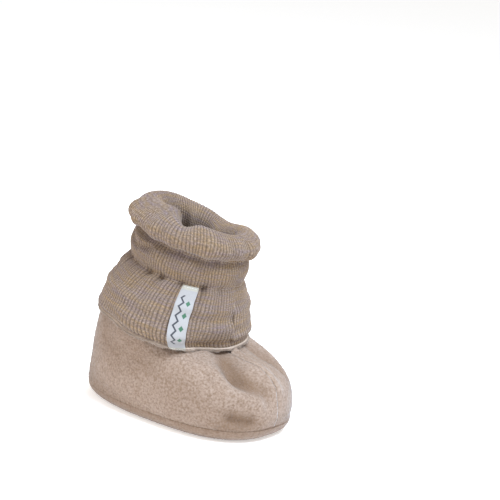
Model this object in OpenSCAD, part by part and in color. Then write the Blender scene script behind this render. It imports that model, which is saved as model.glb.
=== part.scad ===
// Soft baby bootie, standing on its sole with the shaft turned down over the ankle.
// +X points to the toe, +Y to the wearer's left and +Z up. The origin lies on the floor
// under the middle of the bootie.
//
// The cloth is one curved surface, the middle surface. It rises from the sole seam over the
// foot, goes up the neck, rolls over and comes down outside as the turned cuff. Every panel,
// elastic and thread is laid at its own distance from that surface: positive distances are on
// the fleece side (outside on the foot) and negative ones on the knit side.

/* [Size] */
// Length of the bootie from heel to toe
foot_length = 134; // [115:1:150]
// Width across the widest part of the turned cuff
cuff_width = 94; // [84:1:105]
// Height from the floor to the top of the rolled edge
boot_height = 123; // [108:1:136]

/* [Cloth] */
// Thickness of the fleece panels
fleece_thick = 2.2; // [1.6:0.1:2.4]
// Thickness of the ribbed knit lining
knit_thick = 1.5; // [1.0:0.1:1.8]
// Free space between the fleece and the lining, where the elastics lie
layer_gap = 1.3; // [1.1:0.1:1.4]
// Width of the sewn gap between two neighbouring panels
seam_gap = 0.9; // [0.7:0.1:1.1]

/* [Elastics] */
// Thickness of the elastic tapes
elastic_thick = 0.6; // [0.4:0.1:0.7]
// Height of an elastic tape, as a share of its casing
elastic_share = 0.7; // [0.5:0.05:0.8]

/* [Sewing] */
// Diameter of the sewing thread lines
thread_d = 0.5; // [0.4:0.05:0.6]
// Thickness of the woven label
label_thick = 0.6; // [0.4:0.1:0.8]

/* [Hidden] */

// Colours
fleece_colour = [0.78, 0.69, 0.60];
knit_colour = [0.67, 0.59, 0.52];
thread_colour = [0.80, 0.72, 0.63];
elastic_colour = [0.95, 0.94, 0.90];
label_colour = [0.97, 0.97, 0.95];

// The size that the control rings are drawn at, stretched to the chosen size
stretch_x = foot_length / 134;
stretch_y = cuff_width / 94;
stretch_z = boot_height / 123;

// Distances of the layers from the middle surface
fleece_in = layer_gap / 2;
fleece_out = fleece_in + fleece_thick;
knit_out = -layer_gap / 2;
knit_in = knit_out - knit_thick;
fleece_mid = (fleece_in + fleece_out) / 2;
knit_mid = (knit_in + knit_out) / 2;

// How far the middle of the bootie's length lies in front of the rings' own x = 0
RINGS_MIDDLE_X = 2.2;

// Control rings of the middle surface, each a leaning oval:
// [toe-side x, toe-side z, heel-side x, heel-side z, half width, squareness, widening to the toe]
RINGS = [
    [64.5,   8,     -61,   7,     34.8, 2.5, 0.17], // sole seam
    [66.5,   14,    -62,   15,    36.7, 2.5, 0.17], // low foot
    [63.5,   26,    -59.5, 28,    37,   2.5, 0.14], // middle of the foot
    [53,     34,    -57,   39,    35.5, 2.4, 0.08], // top of the toe
    [37,     38,    -53.5, 50,    34,   2.3, 0.02], // instep
    [24,     43,    -46.5, 60,    31,   2.2, 0],    // upper instep
    [16.5,   56,    -40,   70,    27.5, 2.1, 0],    // ankle casing
    [15.5,   72,    -32.5, 83,    22.8, 2,   0],    // above the ankle
    [18,     89.5,  -27.5, 99,    19.5, 2,   0],    // neck
    [21.5,   101.5, -26.5, 114.5, 19.5, 2,   0],    // inside of the roll
    [29.5,   107.5, -33.5, 121,   25.5, 2,   0],    // top of the roll
    [36.5,   102.5, -40.8, 115.5, 31,   2,   0],    // outside of the roll
    [31,     95,    -36.5, 107.5, 27.5, 2,   0],    // crease above the cuff casing
    [28.5,   87.5,  -37,   98.5,  27.6, 2,   0],    // middle of the cuff casing
    [28,     79.5,  -38.5, 90,    28.8, 2,   0],    // gather line under the cuff casing
    [29,     68,    -46,   80,    37,   2,   0],    // upper skirt
    [29.5,   54,    -50.5, 70,    44.5, 2,   0],    // lower skirt
    [29,     45,    -52,   62.5,  42,   2,   0]     // rim
];
LAST = len(RINGS) - 1;

// Ring below the sole seam that makes the cloth leave the seam straight up
UNDER = [
    RINGS[1][0], 2 * RINGS[0][1] - RINGS[1][1],
    RINGS[1][2], 2 * RINGS[0][3] - RINGS[1][3],
    RINGS[1][4], RINGS[1][5], RINGS[1][6]
];

// Ring numbers of the sewn lines
ANKLE_LOW = 5.4;
ANKLE_HIGH = 6.6;
CREASE = 12;
GATHER = 14;
FLEECE_RIM = LAST + 0.2;
KNIT_RIM = LAST - 0.08;
RIM_SEAM = LAST - 0.3;

// How far the flat bottom of the sole lies inside the sole seam, along x and along y
floor_inset_x = 8;
floor_inset_y = 6;

// Mesh density
HALF_STEPS = 15;
SIDE_ROWS = 44;
SOLE_EDGE_ROWS = 4;
SOLE_FLAT_ROWS = 2;
FLAT_CORE = 0.35;
TUBE_SIDES = 6;
STEP = 0.001;

function curve(p, t) =
    0.5 * (2 * p[1] + (p[2] - p[0]) * t
        + (2 * p[0] - 5 * p[1] + 4 * p[2] - p[3]) * t * t
        + (3 * p[1] - p[0] - 3 * p[2] + p[3]) * t * t * t);

// Control ring at any height number, by a smooth curve through the rings
function ring_at(v) =
    let (i = max(0, min(LAST - 1, floor(v))))
    let (before = i > 0 ? RINGS[i - 1] : UNDER)
    let (after = i < LAST - 1 ? RINGS[i + 2] : 2 * RINGS[LAST] - RINGS[LAST - 1])
    curve([before, RINGS[i], RINGS[i + 1], after], v - i);

function power(value, exponent) = sign(value) * pow(abs(value), exponent);

// Point of the middle surface. angle is 0 at the toe, 90 on the left side and 180 at the heel.
// v runs up from the sole seam at 0, and below the seam down to the floor at -1.
function middle(angle, v) =
    let (r = ring_at(max(v, 0)))
    let (along = power(cos(angle), 2 / r[5]))
    let (across = power(sin(angle), 2 / r[5]))
    let (mid_x = stretch_x * ((r[0] + r[2]) / 2 - RINGS_MIDDLE_X))
    let (half_x = stretch_x * (r[0] - r[2]) / 2)
    let (half_y = stretch_y * r[4])
    let (z = stretch_z * ((r[1] + r[3]) / 2 + along * (r[1] - r[3]) / 2))
    let (drop = 90 * min(1, max(0, -v)))
    let (inset_x = 1 - floor_inset_x / half_x * (1 - cos(drop)))
    let (inset_y = 1 - floor_inset_y / half_y * (1 - cos(drop)))
    [mid_x + along * half_x * inset_x,
     half_y * across * (1 + r[6] * cos(angle)) * inset_y,
     fleece_out + (z - fleece_out) * (1 - sin(drop))];

function unit(vector) = vector / norm(vector);

// Direction straight out of the fleece side of the middle surface
function outward(angle, v) =
    unit(cross(middle(angle + STEP * 360, v) - middle(angle - STEP * 360, v),
               middle(angle, v + STEP) - middle(angle, v - STEP)));

// Direction straight up the middle surface
function upward(angle, v) = unit(middle(angle, v + STEP) - middle(angle, v - STEP));

// Half of the seam gap that moves a left or right half away from the centre plane
function half_gap(side) = [0, side * seam_gap / 2, 0];

// Point at a distance from the middle surface, on the left (1) or right (-1) half
function skin(angle, v, distance, side) =
    middle(angle, v) + distance * outward(angle, v) + half_gap(side);

// Columns round the whole bootie as [angle, side], with both edges of the centre seams
AROUND = [
    for (side = [1, -1], i = [0 : HALF_STEPS])
        [(side > 0 ? 0 : 180) + 180 * i / HALF_STEPS, side]
];

function two_triangles(a, b, c, d) = [[a, b, c], [a, c, d]];

// Closed sheet between an outer and an inner grid of points. A closed one joins its last
// column to its first, and a capped one ends in a flat middle.
module sheet(outer, inner, closed, capped) {
    rows = len(outer);
    cols = len(outer[0]);
    count = rows * cols;
    spans = closed ? cols : cols - 1;
    function id(layer, row, col) = layer * count + row * cols + col % cols;
    function edge(row) = [
        for (c = [0 : spans - 1])
            each two_triangles(id(0, row, c), id(0, row, c + 1), id(1, row, c + 1), id(1, row, c))
    ];
    function turned(faces) = [for (f = faces) [f[2], f[1], f[0]]];
    faces_outer = [
        for (r = [0 : rows - 2], c = [0 : spans - 1])
            each two_triangles(id(0, r, c), id(0, r + 1, c), id(0, r + 1, c + 1), id(0, r, c + 1))
    ];
    faces_inner = [
        for (r = [0 : rows - 2], c = [0 : spans - 1])
            each two_triangles(id(1, r, c), id(1, r, c + 1), id(1, r + 1, c + 1), id(1, r + 1, c))
    ];
    sides = closed ? [] : [
        for (r = [0 : rows - 2]) each concat(
            two_triangles(id(0, r, 0), id(1, r, 0), id(1, r + 1, 0), id(0, r + 1, 0)),
            two_triangles(id(0, r, cols - 1), id(0, r + 1, cols - 1),
                          id(1, r + 1, cols - 1), id(1, r, cols - 1)))
    ];
    far_end = capped
        ? [[for (c = [cols - 1 : -1 : 0]) id(0, rows - 1, c)],
           [for (c = [0 : cols - 1]) id(1, rows - 1, c)]]
        : turned(edge(rows - 1));
    polyhedron(points = concat([for (row = outer) each row], [for (row = inner) each row]),
               faces = concat(faces_outer, faces_inner, sides, edge(0), far_end),
               convexity = 10);
}

// Side panel of one half, from the sole seam to the rim
module side_panel(side, from_v, to_v, near, far) {
    function grid(distance) = [
        for (r = [0 : SIDE_ROWS]) [
            for (c = [0 : HALF_STEPS])
                skin((side > 0 ? 0 : 180) + 180 * c / HALF_STEPS,
                     from_v + (to_v - from_v) * r / SIDE_ROWS, distance, side)
        ]
    ];
    sheet(grid(far), grid(near), false, false);
}

// Free space above and below the sole seam, as a share of one ring step of about 9 mm
seam_step = seam_gap / 9;

// Sole panel with a rounded edge and a flat middle
module sole_panel(near, far) {
    function edge_row(r, distance) = [
        for (a = AROUND)
            skin(a[0], -seam_step - (1 - seam_step) * r / SOLE_EDGE_ROWS, distance, a[1])
    ];
    function flat_row(share, distance) = [
        for (a = AROUND)
            let (p = middle(a[0], -1) + half_gap(a[1]))
            [p[0] * share, p[1] * share, fleece_out - distance]
    ];
    function grid(distance) = concat(
        [for (r = [0 : SOLE_EDGE_ROWS - 1]) edge_row(r, distance)],
        [for (r = [0 : SOLE_FLAT_ROWS]) flat_row(1 - (1 - FLAT_CORE) * r / SOLE_FLAT_ROWS, distance)]
    );
    sheet(grid(near), grid(far), true, true);
}

// Band all the way round between two height numbers
module band(from_v, to_v, near, far, rows) {
    function grid(distance) = [
        for (r = [0 : rows])
            [for (a = AROUND) skin(a[0], from_v + (to_v - from_v) * r / rows, distance, a[1])]
    ];
    sheet(grid(far), grid(near), true, false);
}

// Thin tube through rings of points
module tube(rings, closed) {
    count = len(rings);
    spans = closed ? count : count - 1;
    function id(row, k) = (row % count) * TUBE_SIDES + k % TUBE_SIDES;
    walls = [
        for (r = [0 : spans - 1], k = [0 : TUBE_SIDES - 1])
            each two_triangles(id(r, k), id(r, k + 1), id(r + 1, k + 1), id(r + 1, k))
    ];
    ends = closed ? [] : [
        [for (k = [TUBE_SIDES - 1 : -1 : 0]) id(0, k)],
        [for (k = [0 : TUBE_SIDES - 1]) id(count - 1, k)]
    ];
    polyhedron(points = [for (ring = rings) each ring], faces = concat(walls, ends), convexity = 10);
}

function tube_ring(centre, first, second) = [
    for (k = [0 : TUBE_SIDES - 1])
        let (turn = 360 * k / TUBE_SIDES)
        centre + thread_d / 2 * (cos(turn) * first + sin(turn) * second)
];

// Line of thread all the way round at one height number
module thread_loop(v, distance) {
    tube([
        for (a = AROUND)
            tube_ring(skin(a[0], v, distance, a[1]), outward(a[0], v), upward(a[0], v))
    ], true);
}

// Line of thread in the middle of the gap between the side panels and the sole panel
module sole_thread(distance) {
    tube([
        for (a = AROUND)
            let (above = skin(a[0], seam_step, distance, a[1]))
            let (below = skin(a[0], -seam_step, distance, a[1]))
            tube_ring((above + below) / 2, outward(a[0], -seam_step), unit(above - below))
    ], true);
}

// Line of thread up a centre seam, at angle 0 (front) or 180 (back)
module thread_up(angle, from_v, to_v, distance) {
    tube([
        for (r = [0 : SIDE_ROWS])
            let (v = from_v + (to_v - from_v) * r / SIDE_ROWS)
            tube_ring(middle(angle, v) + distance * outward(angle, v),
                      [0, cos(angle), 0], outward(angle, v))
    ], false);
}

module fleece_side(side) {
    color(fleece_colour)
        side_panel(side, seam_step, FLEECE_RIM, fleece_in, fleece_out);
}

module lining_side(side) {
    color(knit_colour)
        side_panel(side, seam_step, KNIT_RIM, knit_in, knit_out);
}

module fleece_side_left() {
    fleece_side(1);
}

module fleece_side_right() {
    fleece_side(-1);
}

module fleece_sole() {
    color(fleece_colour)
        sole_panel(fleece_in, fleece_out);
}

module lining_side_left() {
    lining_side(1);
}

module lining_side_right() {
    lining_side(-1);
}

module lining_sole() {
    color(knit_colour)
        sole_panel(knit_in, knit_out);
}

// Elastic tape in the middle of a casing
module elastic(casing_low, casing_high) {
    centre = (casing_low + casing_high) / 2;
    half = elastic_share * (casing_high - casing_low) / 2;
    color(elastic_colour)
        band(centre - half, centre + half, -elastic_thick / 2, elastic_thick / 2, 4);
}

module ankle_elastic() {
    elastic(ANKLE_LOW, ANKLE_HIGH);
}

module cuff_elastic() {
    elastic(CREASE, GATHER);
}

// Woven label on the knit side of the cuff, from the gather line down past the rim:
// its angles at the top and the bottom, and its height numbers
LABEL_TOP = [310.5, GATHER + 0.05];
LABEL_BOTTOM = [314, LAST + 0.15];
LABEL_WIDTH = [16, 12];
LABEL_ROWS = 12;
LABEL_COLS = 4;
label_air = 0.35;

function label_point(across, down, distance) =
    let (centre = LABEL_TOP[0] + (LABEL_BOTTOM[0] - LABEL_TOP[0]) * down)
    let (width = LABEL_WIDTH[0] + (LABEL_WIDTH[1] - LABEL_WIDTH[0]) * down)
    let (v = LABEL_TOP[1] + (LABEL_BOTTOM[1] - LABEL_TOP[1]) * down)
    skin(centre + width * across, v, distance, -1);

module woven_label() {
    function grid(distance) = [
        for (r = [0 : LABEL_ROWS])
            [for (c = [0 : LABEL_COLS]) label_point(c / LABEL_COLS - 0.5, r / LABEL_ROWS, distance)]
    ];
    color(label_colour)
        sheet(grid(knit_in - label_air), grid(knit_in - label_air - label_thick), false, false);
}

// Two rows of stitches that hold the label's top and bottom ends
module label_stitches() {
    stitch_places = [0.035, 0.965];
    color(thread_colour)
        for (down = stitch_places)
            tube([
                for (c = [0 : 8])
                    let (p = label_point(0.8 * (c / 8 - 0.5), down,
                                         knit_in - label_air - label_thick - thread_d / 2 - 0.1))
                    let (q = label_point(0.8 * (c / 8 - 0.5), down, knit_in))
                    tube_ring(p, unit(cross([0, 0, 1], cross(p - q, [0, 0, 1]))), [0, 0, 1])
            ], false);
}

module front_seam_thread() {
    color(thread_colour)
        thread_up(0, seam_step, FLEECE_RIM, fleece_mid);
}

module back_seam_thread() {
    color(thread_colour)
        thread_up(180, seam_step, FLEECE_RIM, fleece_mid);
}

module sole_seam_thread() {
    color(thread_colour)
        sole_thread(fleece_mid);
}

module lining_front_seam_thread() {
    color(thread_colour)
        thread_up(0, seam_step, KNIT_RIM, knit_mid);
}

module lining_back_seam_thread() {
    color(thread_colour)
        thread_up(180, seam_step, KNIT_RIM, knit_mid);
}

module lining_sole_seam_thread() {
    color(thread_colour)
        sole_thread(knit_mid);
}

// Stitch lines lie just clear of the cloth that they hold
stitch_air = 0.2;

module ankle_casing_stitch_lower() {
    color(thread_colour)
        thread_loop(ANKLE_LOW, fleece_out + thread_d / 2 + stitch_air);
}

module ankle_casing_stitch_upper() {
    color(thread_colour)
        thread_loop(ANKLE_HIGH, fleece_out + thread_d / 2 + stitch_air);
}

module cuff_casing_stitch_upper() {
    color(thread_colour)
        thread_loop(CREASE, knit_in - thread_d / 2 - stitch_air);
}

module cuff_casing_stitch_lower() {
    color(thread_colour)
        thread_loop(GATHER, knit_in - thread_d / 2 - stitch_air);
}

module rim_seam_thread() {
    color(thread_colour)
        thread_loop(RIM_SEAM, 0);
}

fleece_side_left();
fleece_side_right();
fleece_sole();
lining_side_left();
lining_side_right();
lining_sole();
ankle_elastic();
cuff_elastic();
woven_label();
label_stitches();
front_seam_thread();
back_seam_thread();
sole_seam_thread();
lining_front_seam_thread();
lining_back_seam_thread();
lining_sole_seam_thread();
ankle_casing_stitch_lower();
ankle_casing_stitch_upper();
cuff_casing_stitch_upper();
cuff_casing_stitch_lower();
rim_seam_thread();
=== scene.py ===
import math

import bpy
import numpy as np
from mathutils import Matrix, Vector, noise


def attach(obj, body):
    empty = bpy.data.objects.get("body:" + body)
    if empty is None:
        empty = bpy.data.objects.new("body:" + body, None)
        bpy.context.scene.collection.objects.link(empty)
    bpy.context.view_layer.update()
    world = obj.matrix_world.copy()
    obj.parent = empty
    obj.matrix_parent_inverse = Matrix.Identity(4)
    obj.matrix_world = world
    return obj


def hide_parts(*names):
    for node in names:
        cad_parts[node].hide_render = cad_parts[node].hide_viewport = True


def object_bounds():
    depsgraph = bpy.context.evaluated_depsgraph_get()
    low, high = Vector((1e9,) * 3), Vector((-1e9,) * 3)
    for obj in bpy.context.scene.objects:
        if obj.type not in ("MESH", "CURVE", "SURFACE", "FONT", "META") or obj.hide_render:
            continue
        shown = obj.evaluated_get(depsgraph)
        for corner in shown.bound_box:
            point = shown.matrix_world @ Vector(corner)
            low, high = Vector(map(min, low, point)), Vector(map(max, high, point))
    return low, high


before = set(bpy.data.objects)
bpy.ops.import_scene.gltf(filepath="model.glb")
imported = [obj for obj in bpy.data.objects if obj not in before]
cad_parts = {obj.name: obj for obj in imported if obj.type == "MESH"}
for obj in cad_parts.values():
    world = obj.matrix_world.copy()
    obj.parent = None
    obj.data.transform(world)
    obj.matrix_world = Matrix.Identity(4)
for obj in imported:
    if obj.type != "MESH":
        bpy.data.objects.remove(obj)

CAD_LOW, CAD_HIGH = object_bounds()
MM = 0.001

# A sewn baby bootie of fleece with a rib knit lining, its shaft turned down as a cuff. All its cloth
# follows one smooth middle surface, the CAD model's, and the folds are added to that surface here.

# ---------------------------------------------------------------- the cloth's middle surface
# Lengths are in millimetres at the standard size, angles in degrees: 0 at the toe, 90 on the
# left side, 180 at the heel. v numbers the rings upwards from the sole seam.
STANDARD_SIZE = (134.2, 94.0, 123.2)
STRETCH = [(CAD_HIGH[i] - CAD_LOW[i]) / MM / STANDARD_SIZE[i] for i in range(3)]
RINGS_MIDDLE_X = 2.2
# toe-side x and z, heel-side x and z, half width, squareness, widening to the toe
RINGS = np.array([
    [64.5, 8, -61, 7, 34.8, 2.5, 0.17],          # sole seam
    [66.5, 14, -62, 15, 36.7, 2.5, 0.17],        # low foot
    [63.5, 26, -59.5, 28, 37, 2.5, 0.14],        # middle of the foot
    [53, 34, -57, 39, 35.5, 2.4, 0.08],          # top of the toe
    [37, 38, -53.5, 50, 34, 2.3, 0.02],          # instep
    [24, 43, -46.5, 60, 31, 2.2, 0],             # upper instep
    [16.5, 56, -40, 70, 27.5, 2.1, 0],           # ankle casing
    [15.5, 72, -32.5, 83, 22.8, 2, 0],           # above the ankle
    [18, 89.5, -27.5, 99, 19.5, 2, 0],           # neck
    [21.5, 101.5, -26.5, 114.5, 19.5, 2, 0],     # inside of the roll
    [29.5, 107.5, -33.5, 121, 25.5, 2, 0],       # top of the roll
    [36.5, 102.5, -40.8, 115.5, 31, 2, 0],       # outside of the roll
    [31, 95, -36.5, 107.5, 27.5, 2, 0],          # crease above the cuff casing
    [28.5, 87.5, -37, 98.5, 27.6, 2, 0],         # middle of the cuff casing
    [28, 79.5, -38.5, 90, 28.8, 2, 0],           # gather line under the cuff casing
    [29, 68, -46, 80, 37, 2, 0],                 # upper skirt
    [29.5, 54, -50.5, 70, 44.5, 2, 0],           # lower skirt
    [29, 45, -52, 62.5, 42, 2, 0],               # rim
])
LAST = len(RINGS) - 1
UNDER = RINGS[1].copy()
UNDER[[1, 3]] = 2 * RINGS[0, [1, 3]] - RINGS[1, [1, 3]]
RING_LIST = np.vstack([UNDER, RINGS, 2 * RINGS[-1] - RINGS[-2]])

ANKLE_LOW, ANKLE_HIGH = 5.4, 6.6
ROLL_TOP, CREASE, GATHER = 10, 12, 14
FLEECE_RIM, KNIT_RIM, RIM_SEAM = LAST + 0.18, LAST - 0.04, LAST - 0.3
FLOOR_INSET = (8.0, 6.0)

# Distances of the layers from the middle surface: fleece side positive, knit side negative
FLEECE_IN, FLEECE_OUT = 0.65, 2.85
KNIT_OUT, KNIT_IN = -0.65, -2.15
SEAM_GAP = 0.04


def ring_at(v):
    i = np.clip(np.floor(v).astype(int), 0, LAST - 1)
    t = (v - i)[..., None]
    p = [RING_LIST[i + k] for k in range(4)]
    return 0.5 * (2 * p[1] + (p[2] - p[0]) * t
                  + (2 * p[0] - 5 * p[1] + 4 * p[2] - p[3]) * t ** 2
                  + (3 * p[1] - p[0] - 3 * p[2] + p[3]) * t ** 3)


def power(value, exponent):
    return np.sign(value) * np.abs(value) ** exponent


def middle(angle, v):
    """Points of the smooth middle surface, as in the CAD model, in millimetres."""
    toe_x, toe_z, heel_x, heel_z, half_y, square, widen = np.moveaxis(ring_at(np.maximum(v, 0)), -1, 0)
    c, s = np.cos(np.radians(angle)), np.sin(np.radians(angle))
    along, across = power(c, 2 / square), power(s, 2 / square)
    half_x = STRETCH[0] * (toe_x - heel_x) / 2
    half_y = STRETCH[1] * half_y
    z = STRETCH[2] * ((toe_z + heel_z) / 2 + along * (toe_z - heel_z) / 2)
    drop = np.pi / 2 * np.clip(-v, 0, 1)
    x = STRETCH[0] * ((toe_x + heel_x) / 2 - RINGS_MIDDLE_X)
    x = x + along * half_x * (1 - FLOOR_INSET[0] / half_x * (1 - np.cos(drop)))
    y = half_y * across * (1 + widen * c) * (1 - FLOOR_INSET[1] / half_y * (1 - np.cos(drop)))
    z = FLEECE_OUT + (z - FLEECE_OUT) * (1 - np.sin(drop))
    return np.stack([x, y, z], -1)


def turn(angle, centre):
    """Signed difference between angles, in degrees, from -180 to 180."""
    return (angle - centre + 180) % 360 - 180


# One degree round and one ring step up, in millimetres, for the sizes of folds
DEGREE, RING_STEP = 0.66, 9.0


def spot(angle, v, at_angle, at_v, wide, high):
    """Soft round hill of height 1, wide and high in millimetres."""
    d = turn(angle, at_angle) * DEGREE / wide
    e = (v - at_v) * RING_STEP / high
    return np.exp(-d ** 2 - e ** 2)


def ridge(angle, v, places, width):
    """Soft hill of height 1 along a line through (angle, v) places."""
    nearest = np.full(np.broadcast(angle, v).shape, np.inf)
    for start, end in zip(places, places[1:]):
        ax, ay = turn(end[0], start[0]) * DEGREE, (end[1] - start[1]) * RING_STEP
        px, py = turn(angle, start[0]) * DEGREE, (v - start[1]) * RING_STEP
        t = np.clip((px * ax + py * ay) / (ax ** 2 + ay ** 2), 0, 1)
        nearest = np.minimum(nearest, (px - t * ax) ** 2 + (py - t * ay) ** 2)
    return np.exp(-nearest / width ** 2)


def band(v, centre, width):
    return np.exp(-((v - centre) * RING_STEP / width) ** 2)


def smooth(v, low, high):
    t = np.clip((v - low) / (high - low), 0, 1)
    return t * t * (3 - 2 * t)


def waves(angle, v, terms):
    """Sum of sines. A term is a height, degrees for each degree round, degrees for each v, and a start."""
    return sum(height * np.sin(np.radians(a * angle + b * v + start)) for height, a, b, start in terms)


# The top of the foot is caved in beside the front seam: (angle, v) places along the dent
INSTEP_DENT = [(350, 4.7), (342, 3.8), (336, 3.1)]
DENT_DEPTH, DENT_DEPTH_UNDER_CUFF, DENT_WIDTH = 4.4, 1.2, 6.0
# Ridges and valleys of the foot: height outward and width in millimetres, and places along the line
FOOT_RIDGES = [
    (-3.2, 5.0, [(336, 2.85), (343, 2.5), (352, 2.15)]),     # lower end of the dent
    (2.4, 3.0, [(6, 4.4), (2, 3.1), (1, 2.2)]),              # along the front seam
    (1.3, 6.0, [(334, 4.3), (321, 3.3), (318, 2.5)]),        # on the other side of the dent
    (2.0, 4.2, [(322, 2.1), (334, 1.9), (345, 1.7)]),        # below the dent
    (-3.8, 4.4, [(324, 1.12), (331, 1.05), (338, 1.0)]),     # low hollow in front
    (-2.2, 5.0, [(38, 4.6), (30, 3.6), (34, 2.6)]),          # softer folds on the other sides
    (1.2, 6.0, [(60, 4.0), (50, 2.8), (44, 1.8)]),
    (-1.6, 6.0, [(128, 4.9), (140, 3.8), (136, 2.8)]),
    (1.0, 8.0, [(200, 4.2), (196, 2.6)]),
    (-1.2, 7.0, [(228, 4.6), (240, 3.6)]),
]
# Wide hollows at the heel and beside the toe: depth, angle, v, width, height
FOOT_HOLLOWS = [(1.6, 216, 2.2, 30, 26), (2.2, 28, 1.2, 20, 13)]
FOOT_WAVES = [(0.6, 3, 60, 0)]


def foot_folds(angle, v):
    """Outward push on the foot, in millimetres."""
    dent_depth = DENT_DEPTH - (DENT_DEPTH - DENT_DEPTH_UNDER_CUFF) * smooth(v, 3.6, 4.4)
    push = -dent_depth * ridge(angle, v, INSTEP_DENT, DENT_WIDTH)
    for height, width, places in FOOT_RIDGES:
        push += height * ridge(angle, v, places, width)
    for depth, *place in FOOT_HOLLOWS:
        push -= depth * spot(angle, v, *place)
    push += waves(angle, v, FOOT_WAVES) * smooth(v, 0.5, 1.5)
    return push * (1 - smooth(v, 4.8, 5.6)) * smooth(v, -0.2, 0.8)


# Angles round the cuff where the elastic pulls the cloth into a pucker
PUCKERS = [6, 27, 44, 70, 92, 118, 143, 163, 190, 212, 229, 246, 264, 280, 301, 323, 341]
PUCKER_DEPTH, PUCKER_VARIATION = 0.8, 0.5
# Angle and more depth of the puckers that the photo shows best
DEEP_PUCKERS = [(266, 1.5), (280, 1.3), (323, 1.0)]
CREASE_DEPTH, CREASE_DEPTH_AT_BACK, CREASE_BACK, CREASE_FORK = 2.2, 2.4, (245, 36), 1.6
CREASE_FORK_LINE = [(215, 12.6), (240, 12.9), (258, 12.5)]
GATHER_DEPTH, ROLL_SWELL = 1.2, 1.2
SKIRT_WAVES = [(1.0, 5, 0, 40), (0.6, 9, 0, 150)]
ROLL_WAVES = [(0.7, 7, 0, 0), (0.45, 13, 90, 0), (0.35, 21, -70, 0)]
# Where the skirt lies closer to the foot: depth, angle, half width in degrees, v where it starts and is full
SKIRT_PRESSED = [(1.6, 215, 30, 14.8, 16), (2.8, 345, 22, 15.8, LAST)]
# Soft rings round the skirt: height, spacing in v and slope, of wide ones and of narrow ones
WIDE_RINGS, NARROW_RINGS = (0.6, 1.1, 1.5), (0.35, 0.6, -2)
NARROW_RING_SWAY = [(50, 3, 0, 0)]


def cuff_folds(angle, v):
    """Outward push on the turned cuff, in millimetres."""
    pull = np.zeros(np.broadcast(angle, v).shape)
    for i, place in enumerate(PUCKERS):
        depth = PUCKER_DEPTH + PUCKER_VARIATION * math.sin(5.1 * i)
        pull -= depth * spot(angle, v, place, GATHER, 2.6, 3.2)
        pull -= 0.55 * depth * ridge(angle, v, [(place, GATHER), (place - 3, GATHER + 1.3)], 2.6)
        pull -= 0.6 * depth * spot(angle, v, place + 8, CREASE, 4.5, 3.0)
    for place, depth in DEEP_PUCKERS:
        pull -= depth * spot(angle, v, place, GATHER + 0.05, 3.0, 2.6)
        pull -= 0.5 * depth * ridge(angle, v, [(place, GATHER + 0.1), (place - 4, GATHER + 1.1)], 2.4)
        pull += 0.5 * depth * spot(angle, v, place + 6, GATHER + 0.35, 4.0, 3.0)
    pull -= GATHER_DEPTH * band(v, GATHER, 1.6)
    # the crease under the roll is deepest at the back of the right side
    at_back = np.exp(-(turn(angle, CREASE_BACK[0]) / CREASE_BACK[1]) ** 2)
    pull -= (CREASE_DEPTH + CREASE_DEPTH_AT_BACK * at_back) * band(v, CREASE - 0.1, 2.4)
    pull -= CREASE_FORK * ridge(angle, v, CREASE_FORK_LINE, 2.2)
    pull += ROLL_SWELL * band(v, CREASE + 1, 5.0)
    pull += waves(angle, v, SKIRT_WAVES) * smooth(v, GATHER + 0.6, LAST)
    pull += waves(angle, v, ROLL_WAVES) * band(v, ROLL_TOP + 1, 10)
    for depth, centre, wide, start, full in SKIRT_PRESSED:
        pull -= depth * np.exp(-(turn(angle, centre) / wide) ** 2) * smooth(v, start, full)
    height, spacing, slope = WIDE_RINGS
    rings = height * np.sin(np.radians(360 * (v - GATHER) / spacing + slope * angle))
    height, spacing, slope = NARROW_RINGS
    sway = waves(angle, v, NARROW_RING_SWAY)
    rings = rings + height * np.sin(np.radians(360 * v / spacing + slope * angle + sway))
    pull += rings * smooth(v, GATHER + 0.3, GATHER + 1) * (1 - 0.6 * smooth(v, LAST - 0.6, LAST))
    return pull * smooth(v, ROLL_TOP, ROLL_TOP + 0.8)


# Moves of the rolled edge: millimetres inward and up, angle, v, half width in degrees, half height in v
ROLL_BULGES = [
    # the back of the right side is fat and leans into the opening, and so does the front a little
    (9.5, 0, 236, 9.3, 34, 1.1), (4.5, 0, 305, 9.4, 34, 0.9), (2.4, 0, 252, 9.3, 15, 0.9),
    # a notch between them
    (-2.0, 0, 289, 9.6, 12, 0.9), (0, -4.0, 289, 9.7, 13, 1.0), (0, 1.6, 248, 9.6, 15, 0.9),
    # folds down the inside of the far wall
    (3.5, 0, 128, 8.9, 9, 1.0), (2.0, 0, 80, 8.9, 12, 1.0), (-1.5, 0, 104, 9.0, 10, 1.0),
    # the near wall stands higher than the far one
    (0, 3.4, 300, 9.9, 42, 1.1), (0, -6.3, 88, 10.1, 30, 1.6), (0, -1.5, 130, 10.0, 20, 1.3),
]


def roll_shift(angle, v):
    """Move of the rolled edge and the neck, in millimetres."""
    push, lift = np.zeros(angle.shape), np.zeros(angle.shape)
    for inward, up, at_angle, at_v, wide, high in ROLL_BULGES:
        bulge = np.exp(-(turn(angle, at_angle) / wide) ** 2 - ((v - at_v) / high) ** 2)
        push += inward * bulge
        lift += up * bulge
    a = np.radians(angle)
    return np.stack([-np.cos(a) * push, -np.sin(a) * push, lift], -1)


def surface(angle, v):
    """Middle surface with its folds."""
    angle, v = np.broadcast_arrays(np.asarray(angle, float), np.asarray(v, float))
    p = middle(angle, v)
    n = direction(middle, angle, v)
    push = foot_folds(angle, v) - cuff_folds(angle, v)
    return p + push[..., None] * n + roll_shift(angle, v)


def direction(shape, angle, v, step=0.002):
    """Unit vectors straight out of the fleece side of a surface."""
    around = shape(angle + 180 * step, v) - shape(angle - 180 * step, v)
    up = shape(angle, v + step) - shape(angle, v - step)
    n = np.cross(around, up)
    return n / np.linalg.norm(n, axis=-1, keepdims=True)


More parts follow.
